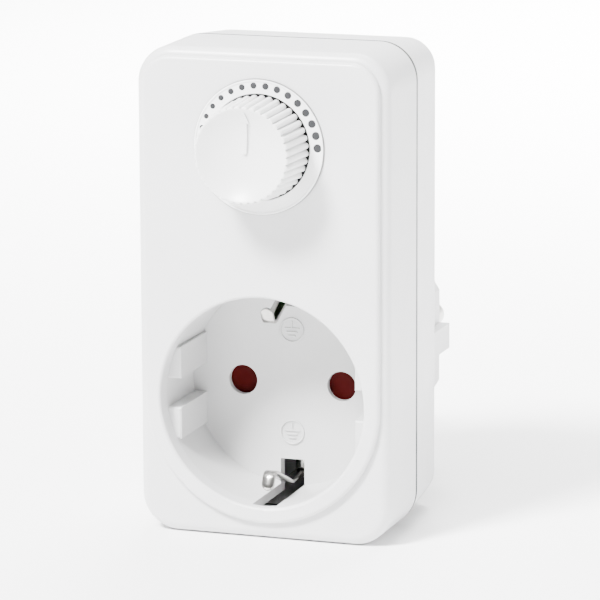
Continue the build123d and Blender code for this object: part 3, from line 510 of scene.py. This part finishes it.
def earth_sign(name, sign_z):
    ring_inner = 2.03 * MM
    ring_outer = 2.35 * MM
    ring_chamfer = 0.07 * MM
    ring_height = 0.28 * MM
    ring_wall = 0.2 * MM
    bar_height = 0.25 * MM
    root = 0.05 * MM
    sides = 64
    profile = (
        (ring_inner, root),
        (ring_inner, -ring_wall),
        (ring_inner + ring_chamfer, -ring_height),
        (ring_outer - ring_chamfer, -ring_height),
        (ring_outer, -ring_wall),
        (ring_outer, root),
    )
    # Half width, lower end and upper end of each bar, from the ring's centre
    bars = (
        (0.11 * MM, 0.45 * MM, 1.75 * MM),
        (1.45 * MM, 0.2 * MM, 0.45 * MM),
        (1.05 * MM, -0.5 * MM, -0.25 * MM),
        (0.7 * MM, -1.2 * MM, -0.95 * MM),
    )

    points = []
    for reach, level in profile:
        points += circle(0.0, floor_level + level, sign_z, reach, sides)
    faces = band_faces(0, len(profile), sides, closed=True)
    for half_width, low, high in bars:
        faces += box_faces(len(points))
        for z in (sign_z + low, sign_z + high):
            for y in (floor_level - bar_height, floor_level + root):
                points += [(-half_width, y, z), (half_width, y, z)]
    sign = add_mesh(name, points, faces, looks["cup"], "housing")
    soft_edges(sign, width=0.03 * MM)


high_sign_offset = 9.9 * MM
low_sign_offset = 9.2 * MM
earth_sign("earth_sign_high", socket_z + high_sign_offset)
earth_sign("earth_sign_low", socket_z - low_sign_offset)


# Earth strip: one bent strip whose two rounded tongues stand in the recess
def rounded_path(corners, radii, steps=10):
    path = [Vector(corners[0])]
    for before, corner, after, radius in zip(corners, corners[1:], corners[2:], radii):
        corner = Vector(corner)
        to_before = (Vector(before) - corner).normalized()
        to_after = (Vector(after) - corner).normalized()
        half = to_before.angle(to_after) / 2
        centre = corner + (to_before + to_after).normalized() * (radius / math.sin(half))
        start = corner + to_before * (radius / math.tan(half)) - centre
        end = corner + to_after * (radius / math.tan(half)) - centre
        for step in range(steps + 1):
            path.append(centre + start.lerp(end, step / steps).normalized() * radius)
    path.append(Vector(corners[-1]))
    return path


# The strip's path is worked out in millimetres, and only its points are in metres
def earth_strip():
    half_width = 1.2
    half_thickness = 0.3
    edge = 0.14
    least_half = 0.16
    nose_radius = 1.5
    bend_radius = 0.9
    # Level along the socket's axis and offset from it, from the tongue's tip to the strip behind the cup
    tip = (-36.3, 16.8)
    nose = (-34.7, 13.5)
    foot = (-24.6, 17.85)
    behind = (-16.4, 17.85)
    # Reaches from a tip at which its round end gets a row of points
    tip_reaches = (0.03, 0.1, 0.22, 0.4, 0.62, 0.88, half_width)

    axis = socket_z / MM
    side = (tip, nose, foot, behind)
    corners = [(level, axis + offset) for level, offset in side]
    corners += [(level, axis - offset) for level, offset in reversed(side)]
    path = rounded_path(corners, [nose_radius, *[bend_radius] * 4, nose_radius])
    first_step = (path[1] - path[0]).normalized()
    last_step = (path[-2] - path[-1]).normalized()
    head = [path[0] + first_step * reach for reach in tip_reaches]
    tail = [path[-1] + last_step * reach for reach in reversed(tip_reaches)]
    path = [path[0], *head, *path[1:-1], *tail, path[-1]]
    run = [0.0]
    for before, after in zip(path, path[1:]):
        run.append(run[-1] + (after - before).length)

    points = []
    for number, place in enumerate(path):
        before = path[max(number - 1, 0)]
        after = path[min(number + 1, len(path) - 1)]
        along = (after - before).normalized()
        outward_step = Vector((-along.y, along.x))
        to_end = min(run[number], run[-1] - run[number])
        half = half_width
        if to_end < half_width:
            half = max(math.sqrt(half_width**2 - (half_width - to_end) ** 2), least_half)
        quarter = [(half - edge, -half_thickness), (half, edge - half_thickness)]
        right = quarter + [(across, -outward) for across, outward in reversed(quarter)]
        section = right + [(-across, -outward) for across, outward in right]
        for across, outward in section:
            spot = place + outward_step * outward
            points.append((across * MM, spot.x * MM, spot.y * MM))

    corner_count = len(section)
    faces = band_faces(0, len(path), corner_count, inward=True)
    faces.append(tuple(range(corner_count)))
    faces.append(tuple(reversed(range(len(points) - corner_count, len(points)))))
    strip = add_mesh("earth_strip", points, faces, looks["plated"], "housing", sharp=50.0)
    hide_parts("earth_strap")


earth_strip()


# Floor and backdrop in one curved sheet of pale paper
def studio_sweep():
    half_width = 3.0
    near_edge = -3.0
    near_crease = -1.0
    bend_start = 0.6
    bend_radius = 0.8
    bend_steps = 12
    top_edge = 3.0
    profile = [(near_edge, 0.0), (near_crease, 0.0), (bend_start, 0.0)]
    for step in range(1, bend_steps + 1):
        angle = math.pi / 2 * step / bend_steps
        profile.append((bend_start + bend_radius * math.sin(angle), bend_radius * (1 - math.cos(angle))))
    profile.append((bend_start + bend_radius, top_edge))

    points = []
    for level_y, level_z in profile:
        points += [(-half_width, level_y, ground + level_z), (half_width, level_y, ground + level_z)]
    faces = [(row, row + 1, row + 3, row + 2) for row in range(0, len(points) - 2, 2)]
    mesh = bpy.data.meshes.new("studio_sweep")
    mesh.from_pydata(points, [], faces)
    mesh.polygons.foreach_set("use_smooth", [True] * len(mesh.polygons))
    sweep = bpy.data.objects.new("studio_sweep", mesh)
    bpy.context.scene.collection.objects.link(sweep)
    paper, _, shader = new_material("pale_paper")
    shader.inputs["Base Color"].default_value = (*grey(0.96), 1)
    shader.inputs["Roughness"].default_value = 0.9
    shader.inputs["Specular IOR Level"].default_value = 0.1
    mesh.materials.append(paper)


studio_sweep()


# Sky that is dim in front of the object and bright behind it
def studio_sky():
    world = bpy.data.worlds.new("studio")
    bpy.context.scene.world = world
    world.use_nodes = True
    tree = world.node_tree
    sky = tree.nodes["Background"]
    sky.inputs["Color"].default_value = (1, 1, 1, 1)
    place = tree.nodes.new("ShaderNodeTexCoord")
    split = tree.nodes.new("ShaderNodeSeparateXYZ")
    strength = tree.nodes.new("ShaderNodeMapRange")
    tree.links.new(place.outputs["Generated"], split.inputs[0])
    tree.links.new(split.outputs["Y"], strength.inputs["Value"])
    strength.inputs["From Min"].default_value = -0.7
    strength.inputs["From Max"].default_value = 0.5
    strength.inputs["To Min"].default_value = 0.3
    strength.inputs["To Max"].default_value = 1.6
    tree.links.new(strength.outputs["Result"], sky.inputs["Strength"])


studio_sky()


# Lamps at the upper left, above, at the right and over the backdrop
def area_light(name, place, aim, size, power, beam=180.0):
    light = bpy.data.lights.new(name, "AREA")
    light.shape = "DISK"
    light.size = size
    light.energy = power
    light.spread = math.radians(beam)
    lamp = bpy.data.objects.new(name, light)
    lamp.location = place
    lamp.rotation_euler = (Vector(aim) - Vector(place)).to_track_quat("-Z", "Y").to_euler()
    bpy.context.scene.collection.objects.link(lamp)


object_middle = (0.0, -0.02, 0.015)
area_light("key_lamp", (-0.33, -0.68, 0.835), object_middle, size=0.28, power=66.0)
area_light("top_lamp", (-0.05, -0.65, 0.95), object_middle, size=0.35, power=8.0)
area_light("right_lamp", (1.08, 0.02, 0.3), object_middle, size=0.5, power=11.0)
area_light("backdrop_lamp", (0.0, 0.66, 0.8), (0.0, 0.62, 0.0), size=0.7, power=27.0, beam=78.0)


# Camera with a long lens, fitted to the photograph
def photo_camera():
    azimuth = math.radians(18.79)
    elevation = math.radians(11.81)
    roll = math.radians(-0.25)
    distance = 711.1 * MM
    target = Vector((2.35, -24.4, 14.09)) * MM
    sensor_width = 36.0
    photo_pixels = 600.0
    focal_pixels = 3924.0

    level_reach = math.cos(elevation)
    back = Vector((math.sin(azimuth) * level_reach, -math.cos(azimuth) * level_reach, math.sin(elevation)))
    level_right = Vector((math.cos(azimuth), math.sin(azimuth), 0.0))
    right = level_right * math.cos(roll) + back.cross(level_right) * math.sin(roll)
    turned = Matrix((right, back.cross(right), back)).transposed().to_4x4()
    lens = bpy.data.cameras.new("camera")
    lens.sensor_width = sensor_width
    lens.lens = focal_pixels / photo_pixels * sensor_width
    lens.clip_start = 0.01
    lens.clip_end = 20.0
    camera = bpy.data.objects.new("camera", lens)
    camera.matrix_world = Matrix.Translation(target + back * distance) @ turned
    bpy.context.scene.collection.objects.link(camera)
    bpy.context.scene.camera = camera


photo_camera()
